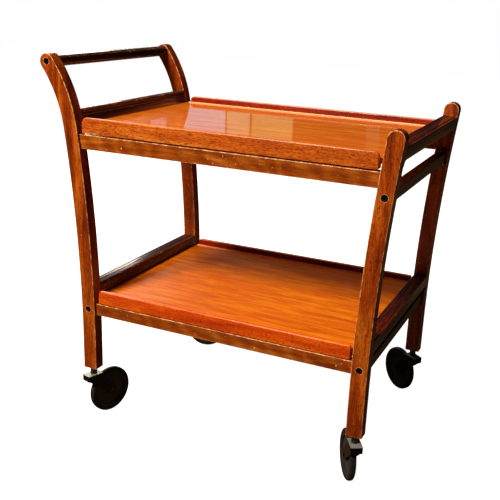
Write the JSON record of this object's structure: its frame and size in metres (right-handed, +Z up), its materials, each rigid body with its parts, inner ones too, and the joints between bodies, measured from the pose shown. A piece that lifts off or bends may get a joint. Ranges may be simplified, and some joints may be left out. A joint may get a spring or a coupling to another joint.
{
  "type": "tea trolley",
  "caption": "Two-tier wooden serving trolley with curved legs, push bar, lift-out upper tray and swivel castors.",
  "frame": {"origin": "on the floor, midway between the four castor swivel axes", "axes": "+X along the trolley away from the push bar, +Y across it to the left of someone pushing it, +Z up"},
  "size_m": [0.685, 0.4831, 0.719],
  "materials": {
    "leg_wood": "red-brown varnish worn pale along the edges",
    "frame_rail_wood": "satin varnish",
    "dark_wood": "dark glossy varnish",
    "tray_rail_wood": "amber varnish",
    "tray_end_wood": "glossy varnish",
    "panel_wood": "high-gloss amber lacquer",
    "dowel_wood": "unfinished beech",
    "bolt_steel": "black oxide",
    "nut_steel": "bright zinc",
    "pad_felt": "dense felt",
    "socket_plastic": "plain",
    "stem_steel": "black",
    "fork_steel": "bright zinc plate",
    "axle_steel": "bright zinc",
    "wheel_plastic": "moulded, glossy",
    "tyre_rubber": "smooth"
  },
  "bodies": {
    "frame": {"rear_leg_right": "leg_wood", "rear_leg_left": "leg_wood", "front_leg_right": "leg_wood", "front_leg_left": "leg_wood", "upper_side_rail_right": "frame_rail_wood", "upper_side_rail_left": "frame_rail_wood", "lower_side_rail_right": "frame_rail_wood", "lower_side_rail_left": "frame_rail_wood", "front_upper_cross_rail": "dark_wood", "front_lower_cross_rail": "dark_wood", "rear_lower_cross_rail": "dark_wood", "push_bar": "dark_wood", "lower_tray_side_rail_right": "tray_rail_wood", "lower_tray_side_rail_left": "tray_rail_wood", "lower_tray_end_rail_rear": "tray_end_wood", "lower_tray_end_rail_front": "tray_end_wood", "lower_tray_panel": "panel_wood", "rail_dowels": "dowel_wood", "frame_bolts": "bolt_steel", "barrel_nuts": "nut_steel", "lower_tray_screws": "nut_steel", "lower_tray_rest_pads": "pad_felt", "castor_sockets": "socket_plastic", "upper_tray_rest_pads": "pad_felt"},
    "upper_tray": {"upper_tray_panel": "panel_wood", "upper_tray_side_rail_right": "tray_rail_wood", "upper_tray_side_rail_left": "tray_rail_wood", "upper_tray_end_rail_rear": "tray_end_wood", "upper_tray_end_rail_front": "tray_end_wood"},
    "rear_right_fork": {"castor_stem_rear_right": "stem_steel", "castor_fork_rear_right": "fork_steel", "castor_axle_rear_right": "axle_steel"},
    "rear_right_wheel": {"castor_wheel_rear_right": "wheel_plastic", "castor_tyre_rear_right": "tyre_rubber"},
    "front_right_fork": {"castor_stem_front_right": "stem_steel", "castor_fork_front_right": "fork_steel", "castor_axle_front_right": "axle_steel"},
    "front_right_wheel": {"castor_wheel_front_right": "wheel_plastic", "castor_tyre_front_right": "tyre_rubber"},
    "front_left_fork": {"castor_stem_front_left": "stem_steel", "castor_fork_front_left": "fork_steel", "castor_axle_front_left": "axle_steel"},
    "front_left_wheel": {"castor_wheel_front_left": "wheel_plastic", "castor_tyre_front_left": "tyre_rubber"},
    "rear_left_fork": {"castor_stem_rear_left": "stem_steel", "castor_fork_rear_left": "fork_steel", "castor_axle_rear_left": "axle_steel"},
    "rear_left_wheel": {"castor_wheel_rear_left": "wheel_plastic", "castor_tyre_rear_left": "tyre_rubber"}
  },
  "joints": [
    {"name": "upper_tray_lift", "type": "slide", "parent": "frame", "child": "upper_tray", "axis": [0, 0, 1], "range_m": [0, 0.25]},
    {"name": "rear_right_swivel", "type": "hinge", "parent": "frame", "child": "rear_right_fork", "pos_m": [-0.275, -0.20275, 0.11], "axis": [0, 0, 1], "continuous": true},
    {"name": "rear_right_roll", "type": "hinge", "parent": "rear_right_fork", "child": "rear_right_wheel", "pos_m": [-0.26295, -0.16566, 0.047], "axis": [0.9511, -0.309, 0], "continuous": true},
    {"name": "front_right_swivel", "type": "hinge", "parent": "frame", "child": "front_right_fork", "pos_m": [0.275, -0.20275, 0.11], "axis": [0, 0, 1], "continuous": true},
    {"name": "front_right_roll", "type": "hinge", "parent": "front_right_fork", "child": "front_right_wheel", "pos_m": [0.25491, -0.16932, 0.047], "axis": [0.8572, 0.515, 0], "continuous": true},
    {"name": "front_left_swivel", "type": "hinge", "parent": "frame", "child": "front_left_fork", "pos_m": [0.275, 0.20275, 0.11], "axis": [0, 0, 1], "continuous": true},
    {"name": "front_left_roll", "type": "hinge", "parent": "front_left_fork", "child": "front_left_wheel", "pos_m": [0.24427, 0.22676, 0.047], "axis": [0.6157, 0.788, 0], "continuous": true},
    {"name": "rear_left_swivel", "type": "hinge", "parent": "frame", "child": "rear_left_fork", "pos_m": [-0.275, 0.20275, 0.11], "axis": [0, 0, 1], "continuous": true},
    {"name": "rear_left_roll", "type": "hinge", "parent": "rear_left_fork", "child": "rear_left_wheel", "pos_m": [-0.23835, 0.21609, 0.047], "axis": [0.342, -0.9397, 0], "continuous": true}
  ]
}
